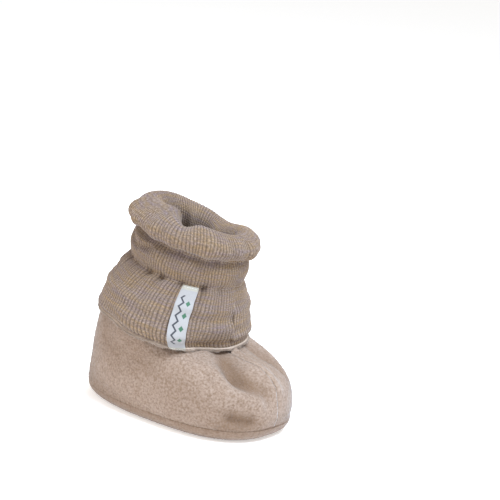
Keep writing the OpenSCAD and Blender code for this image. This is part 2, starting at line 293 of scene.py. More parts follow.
def skin(angle, v, distance, side):
    """Points of a layer that follows the folds, on the left (1) or right (-1) half."""
    p = surface(angle, v) + np.asarray(distance)[..., None] * direction(middle, angle, v)
    p[..., 1] += side * SEAM_GAP / 2
    return p


# ---------------------------------------------------------------- meshes
def rounded(distance_mm, radius, least):
    """Share of full thickness near a sewn or cut edge, rounded like folded cloth."""
    t = 1 - np.clip(distance_mm / radius, 0, 1)
    return least + (1 - least) * np.sqrt(np.clip(1 - t * t, 0, 1))


def seam_distance(angle):
    """Distance round the bootie to the nearer centre seam, in millimetres."""
    return np.minimum(np.abs(turn(angle, 0)), np.abs(turn(angle, 180))) * DEGREE


def piece_from(name, points, faces, node_name, material_used, cloth=None):
    mesh = bpy.data.meshes.new(name)
    mesh.from_pydata((np.asarray(points) * MM).tolist(), [], faces)
    if cloth is not None:
        layer = mesh.attributes.new("cloth", "FLOAT_VECTOR", "POINT")
        layer.data.foreach_set("vector", np.asarray(cloth, np.float32).ravel())
    # the many-sided strips at cut edges stay flat, so that the faces beside them keep their shading
    mesh.polygons.foreach_set("use_smooth", [len(face) <= 4 for face in faces])
    mesh.update()
    piece = bpy.data.objects.new(name, mesh)
    bpy.context.collection.objects.link(piece)
    mesh.materials.append(material_used)
    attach(piece, "root")
    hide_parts(node_name)
    return piece


def grid_faces(ids, wrap=False):
    """Quads between the rows of a grid of vertex numbers."""
    if wrap:
        ids = np.hstack([ids, ids[:, :1]])
    return np.stack([ids[:-1, :-1], ids[:-1, 1:], ids[1:, 1:], ids[1:, :-1]], -1).reshape(-1, 4).tolist()


def rim_places(rows, cols):
    """Grid places once round the edge of a grid."""
    return ([(0, c) for c in range(cols - 1)] + [(r, cols - 1) for r in range(rows - 1)]
            + [(rows - 1, c) for c in range(cols - 1, 0, -1)] + [(r, 0) for r in range(rows - 1, 0, -1)])


def sheet_mesh(front, back, row_step, col_step):
    """Closed sheet with a fine front grid and a back grid coarser by the two steps."""
    rows, cols = front.shape[:2]
    ids = np.arange(rows * cols).reshape(rows, cols)
    back_ids = rows * cols + np.arange(back.shape[0] * back.shape[1]).reshape(back.shape[:2])
    faces = grid_faces(ids) + [f[::-1] for f in grid_faces(back_ids)]
    fine = rim_places(rows, cols)
    place = {rc: k for k, rc in enumerate(fine)}
    coarse = rim_places(*back.shape[:2])
    for (r, c), (r2, c2) in zip(coarse, coarse[1:] + coarse[:1]):
        start, end = place[(r * row_step, c * col_step)], place[(r2 * row_step, c2 * col_step)]
        end += len(fine) if end <= start else 0
        edge = [int(ids[fine[m % len(fine)]]) for m in range(start, end + 1)]
        faces.append([int(back_ids[r, c]), int(back_ids[r2, c2])] + edge[::-1])
    return np.concatenate([front.reshape(-1, 3), back.reshape(-1, 3)]), faces


def bag_mesh(front, back, col_step):
    """Closed shallow bag: rows run all the way round, and the last row is capped flat."""
    rows, cols = front.shape[:2]
    ids = np.arange(rows * cols).reshape(rows, cols)
    back_ids = rows * cols + np.arange(back.shape[0] * back.shape[1]).reshape(back.shape[:2])
    faces = grid_faces(ids, True) + [f[::-1] for f in grid_faces(back_ids, True)]
    faces.append(ids[-1].tolist()[::-1])
    faces.append(back_ids[-1].tolist())
    back_cols = back.shape[1]
    for c in range(back_cols):
        edge = [int(ids[0, (c * col_step + m) % cols]) for m in range(col_step + 1)]
        faces.append([int(back_ids[0, c]), int(back_ids[0, (c + 1) % back_cols])] + edge[::-1])
    return np.concatenate([front.reshape(-1, 3), back.reshape(-1, 3)]), faces


def band_mesh(front, back):
    """Closed band all the way round, with the same rows and columns on both faces."""
    rows, cols = front.shape[:2]
    ids = np.arange(rows * cols).reshape(rows, cols)
    back_ids = ids + rows * cols
    faces = grid_faces(ids, True) + [f[::-1] for f in grid_faces(back_ids, True)]
    faces += [f[::-1] for f in grid_faces(np.stack([ids[0], back_ids[0]]), True)]
    faces += grid_faces(np.stack([ids[-1], back_ids[-1]]), True)
    return np.concatenate([front.reshape(-1, 3), back.reshape(-1, 3)]), faces


def spaced(stops):
    """Heights from pairs of a height and the number of rows up to the next one."""
    rows = []
    for (v, count), (following, _) in zip(stops, stops[1:]):
        rows += [v + (following - v) * i / count for i in range(count)]
    return np.array(rows + [stops[-1][0]])


def lengths_up(angle, heights):
    """Length along the cloth from the first height, in millimetres."""
    p = middle(np.full_like(heights, angle), heights)
    return np.concatenate([[0], np.cumsum(np.linalg.norm(np.diff(p, axis=0), axis=1))])


def grains(points, scale, octaves=1):
    """Smooth noise at each point, from about -1 to 1, with grains of about the given size."""
    flat = points.reshape(-1, 3) / scale
    out = np.array([noise.noise(Vector(p)) for p in flat])
    for k in range(1, octaves):
        out += np.array([noise.noise(Vector(p)) for p in flat * 2 ** k]) / 2 ** k
    return out.reshape(points.shape[:-1])


RANDOM = np.random.default_rng(7)


def fibres(roots, normals, length, thickness):
    """Short curved hairs, as points and faces: three sides, a bend and a tip."""
    count = len(roots)
    lean = normals + RANDOM.normal(0, 0.55, (count, 3))
    lean /= np.linalg.norm(lean, axis=1, keepdims=True)
    bend = lean + RANDOM.normal(0, 0.6, (count, 3))
    bend /= np.linalg.norm(bend, axis=1, keepdims=True)
    size = (length * RANDOM.uniform(0.5, 1.2, count))[:, None]
    across = np.cross(lean, RANDOM.normal(0, 1, (count, 3)))
    across /= np.linalg.norm(across, axis=1, keepdims=True)
    other = np.cross(lean, across)
    points, faces = [], []
    for k in range(3):
        turned = math.cos(2 * math.pi * k / 3) * across + math.sin(2 * math.pi * k / 3) * other
        points.append(roots - 0.2 * normals + thickness / 2 * turned)
        points.append(roots + 0.5 * size * lean + thickness / 2.6 * turned)
    tip = roots + 0.5 * size * lean + 0.5 * size * bend
    points = np.stack(points + [tip], 1).reshape(-1, 3)
    for i in range(count):
        b = 7 * i
        faces.append([b + 4, b + 2, b])
        for k in range(3):
            n = (k + 1) % 3
            faces.append([b + 2 * k, b + 2 * n, b + 2 * n + 1, b + 2 * k + 1])
            faces.append([b + 2 * k + 1, b + 2 * n + 1, b + 6])
    return points, faces


def add_fibres(points, faces, roots, normals, length, thickness):
    more, more_faces = fibres(roots, normals, length, thickness)
    start = len(points)
    return (np.concatenate([points, more]),
            faces + [[i + start for i in f] for f in more_faces])


# ---------------------------------------------------------------- materials
def material(name, roughness, sheen=0.0, sheen_roughness=0.5, sheen_tint=(1, 1, 1)):
    m = bpy.data.materials.new(name)
    m.use_nodes = True
    shader = m.node_tree.nodes["Principled BSDF"]
    shader.inputs["Roughness"].default_value = roughness
    shader.inputs["Specular IOR Level"].default_value = 0.2
    shader.inputs["Sheen Weight"].default_value = sheen
    shader.inputs["Sheen Roughness"].default_value = sheen_roughness
    shader.inputs["Sheen Tint"].default_value = (*sheen_tint, 1)
    return m, m.node_tree.nodes, m.node_tree.links, shader


def maths(nodes, links, operation, *values):
    made = nodes.new("ShaderNodeMath")
    made.operation = operation
    for i, value in enumerate(values):
        if isinstance(value, (int, float)):
            made.inputs[i].default_value = value
        else:
            links.new(value, made.inputs[i])
    return made.outputs[0]


def maths_in(nodes, links):
    return lambda operation, *values: maths(nodes, links, operation, *values)


def ramp(nodes, links, factor, stops):
    made = nodes.new("ShaderNodeValToRGB")
    while len(made.color_ramp.elements) < len(stops):
        made.color_ramp.elements.new(0.5)
    for element, (place, colour) in zip(made.color_ramp.elements, stops):
        element.position = place
        element.color = (*colour, 1)
    links.new(factor, made.inputs[0])
    return made.outputs[0]


def mix(nodes, links, factor, first, second, blend="MIX"):
    made = nodes.new("ShaderNodeMix")
    made.data_type = "RGBA"
    made.blend_type = blend
    for value, socket in ((factor, made.inputs[0]), (first, made.inputs[6]), (second, made.inputs[7])):
        if isinstance(value, (int, float)):
            socket.default_value = value
        elif isinstance(value, tuple):
            socket.default_value = (*value, 1)
        else:
            links.new(value, socket)
    return made.outputs[2]


def bump(nodes, links, shader, height, strength, distance, under=None):
    made = nodes.new("ShaderNodeBump")
    made.inputs["Strength"].default_value = strength
    made.inputs["Distance"].default_value = distance
    links.new(height, made.inputs["Height"])
    if under is not None:
        links.new(under, made.inputs["Normal"])
    links.new(made.outputs[0], shader.inputs["Normal"])
    return made.outputs[0]


def grain(nodes, links, place, scale, detail):
    made = nodes.new("ShaderNodeTexNoise")
    made.inputs["Scale"].default_value = scale
    made.inputs["Detail"].default_value = detail
    links.new(place, made.inputs["Vector"])
    return made.outputs[0]


def cloth_axes(nodes, links):
    made = nodes.new("ShaderNodeAttribute")
    made.attribute_name = "cloth"
    split = nodes.new("ShaderNodeSeparateXYZ")
    links.new(made.outputs["Vector"], split.inputs[0])
    return split.outputs


# Tones of the nap from its hollows to its tips: partly its own mottled tone, partly painted shade in the
# hollows of the pebbles' bump
FLEECE_DARK, FLEECE_MID, FLEECE_LIGHT = (0.235, 0.160, 0.112), (0.310, 0.226, 0.174), (0.380, 0.290, 0.236)
FLEECE_PATCHES = (0.95, 0.93, 0.91)
# Colours of the painted shade in the folds and near the sole, and of the painted light on the rim
FLEECE_SHADE, FLEECE_RIM_PAINTED_LIGHT = (0.175, 0.105, 0.062), (0.60, 0.48, 0.39)
PAINTED_SHADE_SHARE, RIM_PAINTED_LIGHT_SHARE = 0.66, 0.8
PEBBLES_PER_M, CURLS_PER_M, PATCHES_PER_M = 780, 2600, 70


def fleece_material():
    m, nodes, links, shader = material("napped_fleece", 0.95, 0.35, 0.4, (0.80, 0.90, 1.0))
    on = maths_in(nodes, links)
    place = nodes.new("ShaderNodeTexCoord").outputs["Object"]
    pebbles, curls = (
        grain(nodes, links, place, per_m, 3.0) for per_m in (PEBBLES_PER_M, CURLS_PER_M))
    clouds = grain(nodes, links, place, PATCHES_PER_M, 2.0)
    # the tone follows the same pebbles as the bump and is darkest in their hollows: partly the nap's own
    # tone, partly painted shade
    tone = ramp(nodes, links, pebbles, [(0.32, FLEECE_DARK), (0.5, FLEECE_MID), (0.68, FLEECE_LIGHT)])
    patchy = ramp(nodes, links, clouds, [(0.35, FLEECE_PATCHES), (0.65, (1.0, 1.0, 1.0))])
    tone = mix(nodes, links, 1.0, tone, patchy, "MULTIPLY")
    # the cloth axes hold how much painted shade a place gets, in folds and near the sole, and 1 on the rim,
    # which gets painted light
    painted_shade, _, rim = cloth_axes(nodes, links)
    tone = mix(nodes, links, on("MULTIPLY", painted_shade, PAINTED_SHADE_SHARE), tone, FLEECE_SHADE)
    # painted light: the rim is lightened where it lies in shadow
    tone = mix(nodes, links, on("MULTIPLY", rim, RIM_PAINTED_LIGHT_SHARE), tone, FLEECE_RIM_PAINTED_LIGHT)
    links.new(tone, shader.inputs["Base Color"])
    first = bump(nodes, links, shader, pebbles, 0.5, 0.0005)
    bump(nodes, links, shader, curls, 0.45, 0.0003, first)
    return m


KNIT_DARK, KNIT_MID, KNIT_LIGHT = (0.148, 0.110, 0.082), (0.222, 0.171, 0.133), (0.322, 0.263, 0.218)
# Tints of the yarn, from greyer to yellower: along single courses, and in wide patches
YARN_TINTS = [(0.36, (0.97, 0.94, 1.05)), (0.50, (1.02, 0.98, 0.92)), (0.64, (1.08, 0.98, 0.77))]
PATCH_TINTS = [(0.36, (0.95, 0.93, 1.0)), (0.64, (1.07, 1.00, 0.90))]
# Colour, share and narrowness of the painted shade in the valleys between the ribs
PAINTED_VALLEY_SHADE, VALLEY_SHARE, VALLEY_SHARPNESS = (0.065, 0.045, 0.034), 0.6, 3.0
# Grains for each rib across and for each millimetre up
FINE_GRAIN, YARN_GRAIN, PATCH_GRAIN = (1.7, 1.6), (0.16, 0.75), (0.05, 0.10)
COURSE_TURN, COURSE_SLANT = 5.2, 2.6


def knit_material():
    m, nodes, links, shader = material("heathered_rib_knit", 0.92, 0.15, 0.5, (0.88, 0.93, 1.0))
    on = maths_in(nodes, links)
    rib, up, _ = cloth_axes(nodes, links)

    def streaks(rib_scale, up_scale, detail):
        stretch = nodes.new("ShaderNodeCombineXYZ")
        links.new(on("MULTIPLY", rib, rib_scale), stretch.inputs[0])
        links.new(on("MULTIPLY", up, up_scale), stretch.inputs[1])
        return grain(nodes, links, stretch.outputs[0], 1.0, detail)

    fine, yarns, clouds = streaks(*FINE_GRAIN, 3.0), streaks(*YARN_GRAIN, 2.0), streaks(*PATCH_GRAIN, 2.0)
    heather = ramp(nodes, links, fine, [(0.30, KNIT_DARK), (0.50, KNIT_MID), (0.70, KNIT_LIGHT)])
    tone = mix(nodes, links, 1.0, heather, ramp(nodes, links, yarns, YARN_TINTS), "MULTIPLY")
    tone = mix(nodes, links, 1.0, tone, ramp(nodes, links, clouds, PATCH_TINTS), "MULTIPLY")
    # painted shade: the valleys between the ribs are darker
    wave = on("COSINE", on("MULTIPLY", rib, 2 * math.pi))
    valley = on("MULTIPLY_ADD", wave, -0.5, 0.5)
    narrow = on("POWER", valley, VALLEY_SHARPNESS)
    tone = mix(nodes, links, on("MULTIPLY", narrow, VALLEY_SHARE), tone, PAINTED_VALLEY_SHADE)
    links.new(tone, shader.inputs["Base Color"])
    # each rib is a column of small V stitches
    half_turn = on("MULTIPLY", rib, math.pi)
    slant = on("ABSOLUTE", on("SINE", half_turn))
    height = on("MULTIPLY", up, COURSE_TURN)
    course = on("MULTIPLY_ADD", slant, COURSE_SLANT, height)
    first = bump(nodes, links, shader, on("SINE", course), 0.3, 0.0003)
    bump(nodes, links, shader, fine, 0.35, 0.0003, first)
    return m


def elastic_material():
    m, nodes, links, shader = material("woven_elastic", 0.7, 0.1)
    on = maths_in(nodes, links)
    rib, up, _ = cloth_axes(nodes, links)
    warp = on("SINE", on("MULTIPLY", rib, 9.0))
    weft = on("SINE", on("MULTIPLY", up, 6.0))
    weave = on("MULTIPLY_ADD", on("MULTIPLY", warp, weft), 0.5, 0.5)
    links.new(mix(nodes, links, weave, (0.60, 0.58, 0.52), (0.88, 0.86, 0.80)), shader.inputs["Base Color"])
    bump(nodes, links, shader, weave, 0.5, 0.0002)
    return m


def thread_material(name, colour):
    m, nodes, links, shader = material(name, 0.6, 0.2)
    place = nodes.new("ShaderNodeTexCoord").outputs["Object"]
    twist = grain(nodes, links, place, 3000, 2.0)
    tone = ramp(nodes, links, twist, [
        (0.35, tuple(0.75 * c for c in colour)), (0.65, tuple(min(1, 1.15 * c) for c in colour))])
    links.new(tone, shader.inputs["Base Color"])
    bump(nodes, links, shader, twist, 0.4, 0.0002)
    return m


# The label's cloth axes are millimetres across from its middle, millimetres down from its top,
# and 1 on the turned ends. Its pattern is a made-up zigzag between rows of small diamonds.
LABEL_SIZE = (11.0, 39.0)
PATTERN_TOP, PATTERN_BOTTOM = 6.5, 32.5
ZIGZAG_DEPTH, ZIGZAG_LEFT, ZIGZAG_START, LINE_WIDTH = 2.25, 3.0, 1.0, 0.62
DIAMOND_EVERY, DIAMOND_RIGHT, DIAMOND_START, DIAMOND_SIZE = 3.0, 2.0, 7.5, 1.5
LABEL_WEAVE = 24.0
TAPE_DARK, TAPE_LIGHT = (0.33, 0.318, 0.318), (0.43, 0.415, 0.415)
CREAM_DARK, CREAM_LIGHT = (0.38, 0.355, 0.30), (0.48, 0.45, 0.385)
ZIGZAG_COLOUR, DIAMOND_COLOUR = (0.055, 0.055, 0.065), (0.06, 0.15, 0.09)


def label_material():
    m, nodes, links, shader = material("woven_label_tape", 0.6, 0.1)
    on = maths_in(nodes, links)
    across, down, turned = cloth_axes(nodes, links)

    def soft_step(value, edge, soft):
        return on("DIVIDE", on("SUBTRACT", value, edge - soft / 2), soft)

    def clamp(value):
        made = nodes.new("ShaderNodeClamp")
        links.new(value, made.inputs[0])
        return made.outputs[0]

    def below(value, edge, soft):
        return clamp(on("SUBTRACT", 1.0, soft_step(value, edge, soft)))

    above_end = on("LESS_THAN", down, PATTERN_BOTTOM)
    inside = on("MULTIPLY", on("GREATER_THAN", down, PATTERN_TOP), above_end)
    # zigzag line down the left of the tape
    wave = on("PINGPONG", on("ADD", down, ZIGZAG_START), ZIGZAG_DEPTH)
    line = on("ABSOLUTE", on("SUBTRACT", on("ADD", across, ZIGZAG_LEFT), wave))
    zigzag = on("MULTIPLY", below(line, LINE_WIDTH, 0.25), inside)
    # diamonds beside it
    along = on("PINGPONG", on("SUBTRACT", down, DIAMOND_START), DIAMOND_EVERY)
    sideways = on("ABSOLUTE", on("SUBTRACT", across, DIAMOND_RIGHT))
    diamond = on("ADD", sideways, on("SUBTRACT", DIAMOND_EVERY, along))
    diamonds = on("MULTIPLY", below(diamond, DIAMOND_SIZE, 0.3), inside)
    # threads of the weave
    warp = on("SINE", on("MULTIPLY", across, LABEL_WEAVE))
    weft = on("SINE", on("MULTIPLY", down, LABEL_WEAVE))
    weave = on("MULTIPLY_ADD", on("MULTIPLY", warp, weft), 0.5, 0.5)
    tape = mix(nodes, links, weave, TAPE_DARK, TAPE_LIGHT)
    cream = mix(nodes, links, weave, CREAM_DARK, CREAM_LIGHT)
    tone = mix(nodes, links, turned, tape, cream)
    tone = mix(nodes, links, zigzag, tone, ZIGZAG_COLOUR)
    tone = mix(nodes, links, diamonds, tone, DIAMOND_COLOUR)
    links.new(tone, shader.inputs["Base Color"])
    bump(nodes, links, shader, weave, 0.4, 0.00015)
    return m


FLEECE, KNIT, ELASTIC, LABEL = fleece_material(), knit_material(), elastic_material(), label_material()
FLEECE_THREAD = thread_material("fleece_sewing_thread", (0.50, 0.38, 0.31))
KNIT_THREAD = thread_material("knit_sewing_thread", (0.36, 0.275, 0.215))
WHITE_THREAD = thread_material("label_sewing_thread", (0.75, 0.74, 0.72))

# ---------------------------------------------------------------- fleece
FLEECE_COLS, FLEECE_COL_STEP, FLEECE_ROW_STEP = 320, 8, 4
FLEECE_ROWS = [(0.005, 8), (0.3, 104), (4.6, 8), (7.0, 8), (9.0, 12), (11.3, 20), (12.8, 4), (13.5, 12),
               (14.5, 4), (15.5, 8), (LAST - 0.2, 16), (FLEECE_RIM, 0)]
FLEECE_HALVES = {1: "left", -1: "right"}


# Depth and size of the nap's pebbles and of its softer lumps, in millimetres
PEBBLES, LUMPS = (0.20, 0.8), (0.12, 4.0)
FOOT_HAIRS, RIM_HAIRS, HAIR_LENGTH, HAIR_THICKNESS = 2200, 5200, 1.2, 0.13
RIM_TOP, RIM_WRAP_ROWS = LAST - 0.06, 12
# Raggedness and waves of the rim, in millimetres and in v
RAGGED_DEPTH, RAGGED_SIZE = 0.7, 2.2
RIM_WAVES = [(0.04, 17, 0, 0), (0.03, 29, 0, 50)]
RIM_LIP = 3.5


def nap(points):
    """Height of the nap in millimetres."""
    return PEBBLES[0] * grains(points, PEBBLES[1], 2) + LUMPS[0] * grains(points + 50, LUMPS[1])


# Where the side panels start and the sole panel starts, above and below the sole seam at v = 0
SIDE_START, SOLE_START = 0.005, -0.005
SEAM_SHARE, TOE_SEAM_DIP = 0.985, 0.3


def seam_share(angle):
    """Share of full thickness left at the sole seam: it shows most at the toe."""
    return SEAM_SHARE - TOE_SEAM_DIP * np.exp(-(turn(angle, 356) / 16) ** 2)


def rim_lip(v):
    """How far the rim turns out under the knit's edge."""
    return RIM_LIP * smooth(v, LAST - 0.13, LAST - 0.01)


# Painted shade on the foot: the fold depth at which it is full, a line of it along the instep dent, and how
# much of it the whole sole panel gets
FOLD_FULL_DEPTH = 4.0
DENT_SHADE = [(347, 4.4), (339, 3.6), (335, 3.0), (341, 2.5)]
SOLE_PAINTED_SHADE = 0.7


def painted_shade_amount(angle, v):
    """How much painted shade the foot's colour gets: in its folds, and near the sole."""
    depth = np.clip(-foot_folds(angle, v) / FOLD_FULL_DEPTH, 0, 1) ** 0.8
    depth = depth + 0.5 * ridge(angle, v, DENT_SHADE, 6.5)
    # painted shade near the sole, which faces down, strongest beside the toe
    at_sole = 0.25 + 0.4 * np.exp(-(turn(angle, 326) / 22) ** 2)
    return np.minimum(depth + at_sole * smooth(-v, -1.4, -0.2), 1.15)


def fleece_side(side):
    angles = (0 if side > 0 else 180) + 180 * np.arange(FLEECE_COLS + 1) / FLEECE_COLS
    inside = spaced(FLEECE_ROWS)
    # the fine face goes round the rim's edge and ends just above the knit's edge
    outside = np.linspace(FLEECE_RIM, RIM_TOP, RIM_WRAP_ROWS + 1)[1:]
    a, v = np.meshgrid(angles, np.concatenate([inside, outside]))
    wrapped = np.arange(len(v))[:, None] >= len(inside)
    share = rounded(seam_distance(a), 0.6, SEAM_SHARE)
    share = share * rounded((v - SIDE_START) * RING_STEP, 1.0, seam_share(a))
    share = share * rounded((FLEECE_RIM - v) * RING_STEP, 1.1, 0.1)
    at_rim = smooth(v, LAST - 0.03, LAST + 0.1)
    around = np.stack([a * DEGREE, 0 * a, 0 * a], -1)
    ragged = RAGGED_DEPTH * grains(around, RAGGED_SIZE, 3) * at_rim
    face = np.where(wrapped, 0.0, (FLEECE_OUT - FLEECE_IN) * share)
    uneven_v = v + 0.05 * ragged + waves(a, v, RIM_WAVES) * at_rim
    flat = skin(a, uneven_v, FLEECE_IN + face - rim_lip(v) - 0.3 * ragged, side)
    normals = direction(middle, a, v) * np.where(wrapped, -1, 1)[..., None]
    front = flat + nap(flat)[..., None] * normals
    rows, cols = FLEECE_ROW_STEP, FLEECE_COL_STEP
    back_rows = (len(v) - 1) // rows + 1
    heights = inside[inside < RIM_TOP]
    heights = np.interp(np.linspace(0, 1, back_rows), np.linspace(0, 1, len(heights)), heights)
    ab, vb = np.meshgrid(angles[::cols], heights)
    back = skin(ab, vb, FLEECE_IN + 0.1 - rim_lip(vb), side)
    points, faces = sheet_mesh(front, back, rows, cols)

    # what the material needs: painted shade in the folds and near the sole, and 1 on the rim, which gets
    # painted light
    rim_painted_light = smooth(v, LAST - 0.16, LAST - 0.08)
    front_cloth = np.stack([painted_shade_amount(a, v), 0 * a, rim_painted_light], -1).reshape(-1, 3)
    # fuzz that catches the light at the edges of the foot, and more of it along the rim
    on_foot = np.argwhere((v < 4.4) & (v > 0.2))
    picked = on_foot[RANDOM.choice(len(on_foot), FOOT_HAIRS, replace=False)]
    on_rim = np.argwhere((v > LAST - 0.02) & (wrapped | (v > FLEECE_RIM - 0.1)))
    picked = np.concatenate([picked, on_rim[RANDOM.choice(len(on_rim), RIM_HAIRS)]])
    roots, out = front[picked[:, 0], picked[:, 1]], normals[picked[:, 0], picked[:, 1]]
    points, faces = add_fibres(points, faces, roots, out, HAIR_LENGTH, HAIR_THICKNESS)
    # the hairs get no painted shade, and those on the rim get the rim's painted light
    hairs = np.zeros((7 * (FOOT_HAIRS + RIM_HAIRS), 3))
    hairs[7 * FOOT_HAIRS:, 2] = 1
    cloth = np.concatenate([front_cloth, np.zeros((back.size // 3, 3)), hairs])
    name = "fleece_panel_" + FLEECE_HALVES[side]
    return piece_from(name, points, faces, "fleece_side_" + FLEECE_HALVES[side], FLEECE, cloth)


def sole_rows(edge_rows, flat_rows, core):
    """Rows of a sole: a height number and a share of the flat bottom's size."""
    rows = [(SOLE_START - (1 + SOLE_START) * r / edge_rows, 1.0) for r in range(edge_rows)]
    return rows + [(-1.0, 1 - (1 - core) * r / flat_rows) for r in range(flat_rows + 1)]


def sole_grid(angles, rows, distance):
    """Points of a sole at a distance from the middle surface for each row and column."""
    grid = []
    for (v, share), d in zip(rows, distance):
        p = surface(angles, np.full_like(angles, v)) if v > -1 else middle(angles, np.full_like(angles, v))
        if v > -1:
            p = p + d[..., None] * direction(middle, angles, np.full_like(angles, v))
        else:
            p = np.stack([p[:, 0] * share, p[:, 1] * share, FLEECE_OUT - d], -1)
        grid.append(p)
    return np.array(grid)


SOLE_COLS, SOLE_COL_STEP, SOLE_EDGE_ROWS, SOLE_FLAT_ROWS = 720, 10, 24, 70
SOLE_BACK_ROWS = (0, 8, 16, 24, 40, 60, 94)
SOLE_CORE = 0.04


def fleece_sole():
    angles = 360 * np.arange(SOLE_COLS) / SOLE_COLS
    rows = sole_rows(SOLE_EDGE_ROWS, SOLE_FLAT_ROWS, SOLE_CORE)
    from_edge = [np.array((SOLE_START - v) * RING_STEP) for v, _ in rows]
    share = np.array([rounded(d, 1.0, seam_share(angles)) for d in from_edge])
    distance = FLEECE_IN + (FLEECE_OUT - FLEECE_IN) * share
    flat = sole_grid(angles, rows, distance)
    height = nap(flat)
    front = sole_grid(angles, rows, distance + np.minimum(height - 0.15, 0))
    back_rows = [rows[i] for i in SOLE_BACK_ROWS]
    coarse = angles[::SOLE_COL_STEP]
    back = sole_grid(coarse, back_rows, np.full((len(back_rows), len(coarse)), FLEECE_IN))
    points, faces = bag_mesh(front, back, SOLE_COL_STEP)
    cloth = np.zeros((len(points), 3))
    # the whole sole panel gets painted shade
    cloth[:, 0] = SOLE_PAINTED_SHADE
    return piece_from("fleece_sole_panel", points, [f[::-1] for f in faces], "fleece_sole",
                      FLEECE, cloth)


# ---------------------------------------------------------------- knit
RIBS = 120
RIB_WIDTH = 2.2
RIB_SAMPLES = 8
KNIT_COLS, KNIT_COL_STEP, KNIT_ROW_STEP = RIBS // 2 * RIB_SAMPLES, 16, 4
KNIT_ROWS = [(0.03, 8), (0.5, 12), (7.0, 8), (9.0, 24), (11.0, 8), (11.5, 24), (12.6, 12), (13.6, 16),
             (14.5, 24), (16.6, 8), (KNIT_RIM, 0)]
RIB_HEIGHT = 0.65


def rib_shape(rib):
    """Height of the ribs: broad round crests and narrow valleys."""
    return RIB_HEIGHT * (np.abs(np.cos(np.pi * rib)) ** 0.55 - 0.65)


# Sideways wandering of the ribs: ribs, waves round the bootie, and radians for each v
RIB_WANDER = [(0.30, 4, 1.3), (0.16, 11, -1.9), (0.08, 23, 3.1), (0.05, 37, 5.3)]


def rib_wander(angle, v):
    """How far the ribs wander sideways, in ribs."""
    a = np.radians(angle)
    return sum(ribs * np.sin(count * a + rise * v) for ribs, count, rise in RIB_WANDER)


def knit_side(side):
    angles = (0 if side > 0 else 180) + 180 * np.arange(KNIT_COLS + 1) / KNIT_COLS
    heights = spaced(KNIT_ROWS)
    a, v = np.meshgrid(angles, heights)
    rib = a / 360 * RIBS + rib_wander(a, v)
    share = rounded(seam_distance(a), 0.6, 0.75) * rounded((v - 0.03) * RING_STEP, 1.0, 0.5)
    share = share * rounded((KNIT_RIM - v) * RING_STEP, 0.5, 0.7)
    distance = KNIT_OUT + (KNIT_IN - KNIT_OUT) * share - rib_shape(rib) * share
    front = skin(a, v, distance, side)
    rows, cols = KNIT_ROW_STEP, KNIT_COL_STEP
    ab, vb = a[::rows, ::cols], v[::rows, ::cols]
    back = skin(ab, vb, np.full_like(ab, KNIT_OUT), side)
    points, faces = sheet_mesh(front, back, rows, cols)
    up = lengths_up(270, heights)
    cloth = np.stack([rib, np.broadcast_to(up[:, None], a.shape), 0 * a], -1)
    cloth = np.concatenate([cloth.reshape(-1, 3), cloth[::rows, ::cols].reshape(-1, 3)])
    name = "lining_panel_" + FLEECE_HALVES[side]
    return piece_from(name, points, [f[::-1] for f in faces], "lining_side_" + FLEECE_HALVES[side],
                      KNIT, cloth)


KNIT_SOLE_COLS, KNIT_SOLE_EDGE_ROWS, KNIT_SOLE_FLAT_ROWS = 480, 10, 60
KNIT_SOLE_BACK_ROWS = (0, 5, 10, 30, 70)


def knit_sole():
    angles = 360 * np.arange(KNIT_SOLE_COLS) / KNIT_SOLE_COLS
    rows = sole_rows(KNIT_SOLE_EDGE_ROWS, KNIT_SOLE_FLAT_ROWS, SOLE_CORE)
    base = np.full((len(rows), len(angles)), KNIT_IN)
    flat = sole_grid(angles, rows, base)
    rib = flat[..., 1] / RIB_WIDTH
    front = sole_grid(angles, rows, base - rib_shape(rib))
    back_rows = [rows[i] for i in KNIT_SOLE_BACK_ROWS]
    coarse = angles[::SOLE_COL_STEP]
    back = sole_grid(coarse, back_rows, np.full((len(back_rows), len(coarse)), KNIT_OUT))
    points, faces = bag_mesh(front, back, SOLE_COL_STEP)
    cloth = np.stack([points[:, 1] / RIB_WIDTH, points[:, 0], 0 * points[:, 0]], -1)
    return piece_from("lining_sole_panel", points, faces, "lining_sole", KNIT, cloth)


# ---------------------------------------------------------------- elastic and label
ELASTIC_THICK, ELASTIC_CORD, ELASTIC_SHARE = 0.6, 0.08, 0.7


def elastic_tape(name, node_name, low, high):
    centre, half = (low + high) / 2, ELASTIC_SHARE * (high - low) / 2
    angles = 360 * np.arange(360) / 360
    heights = np.linspace(centre - half, centre + half, 13)
    a, v = np.meshgrid(angles, heights)
    cords = ELASTIC_CORD * np.cos(np.arange(13) * math.pi)[:, None]
    front = skin(a, v, ELASTIC_THICK / 2 - ELASTIC_CORD + cords * np.ones_like(a), 0)
    back = skin(a, v, np.full_like(a, -ELASTIC_THICK / 2), 0)
    points, faces = band_mesh(front, back)
    up = (v - heights[0]) * RING_STEP
    cloth = np.stack([a * DEGREE, up, 0 * a], -1).reshape(-1, 3)
    return piece_from(name, points, faces, node_name, ELASTIC, np.concatenate([cloth, cloth]))


# Angle and v of the label's top and bottom, and its width at both in degrees
LABEL_TOP, LABEL_BOTTOM, LABEL_WIDTH = (310.5, GATHER + 0.05), (314, LAST + 0.15), (16, 12)
LABEL_THICK, LABEL_AIR, LABEL_BOW, LABEL_CURL = 0.6, 0.35, 0.9, 0.25
TURNED_END = 3.0


def label_place(across, down):
    """Angle and height number at shares of the label's width (-0.5 to 0.5) and length (0 to 1)."""
    centre = LABEL_TOP[0] + (LABEL_BOTTOM[0] - LABEL_TOP[0]) * down
    width = LABEL_WIDTH[0] + (LABEL_WIDTH[1] - LABEL_WIDTH[0]) * down
    return centre + width * across, LABEL_TOP[1] + (LABEL_BOTTOM[1] - LABEL_TOP[1]) * down


def label_lift(across, down):
    """How far the label stands off the knit: it lies close at its sewn ends."""
    return LABEL_AIR + LABEL_BOW * np.sin(np.pi * down) ** 0.8 + LABEL_CURL * (2 * across) ** 4


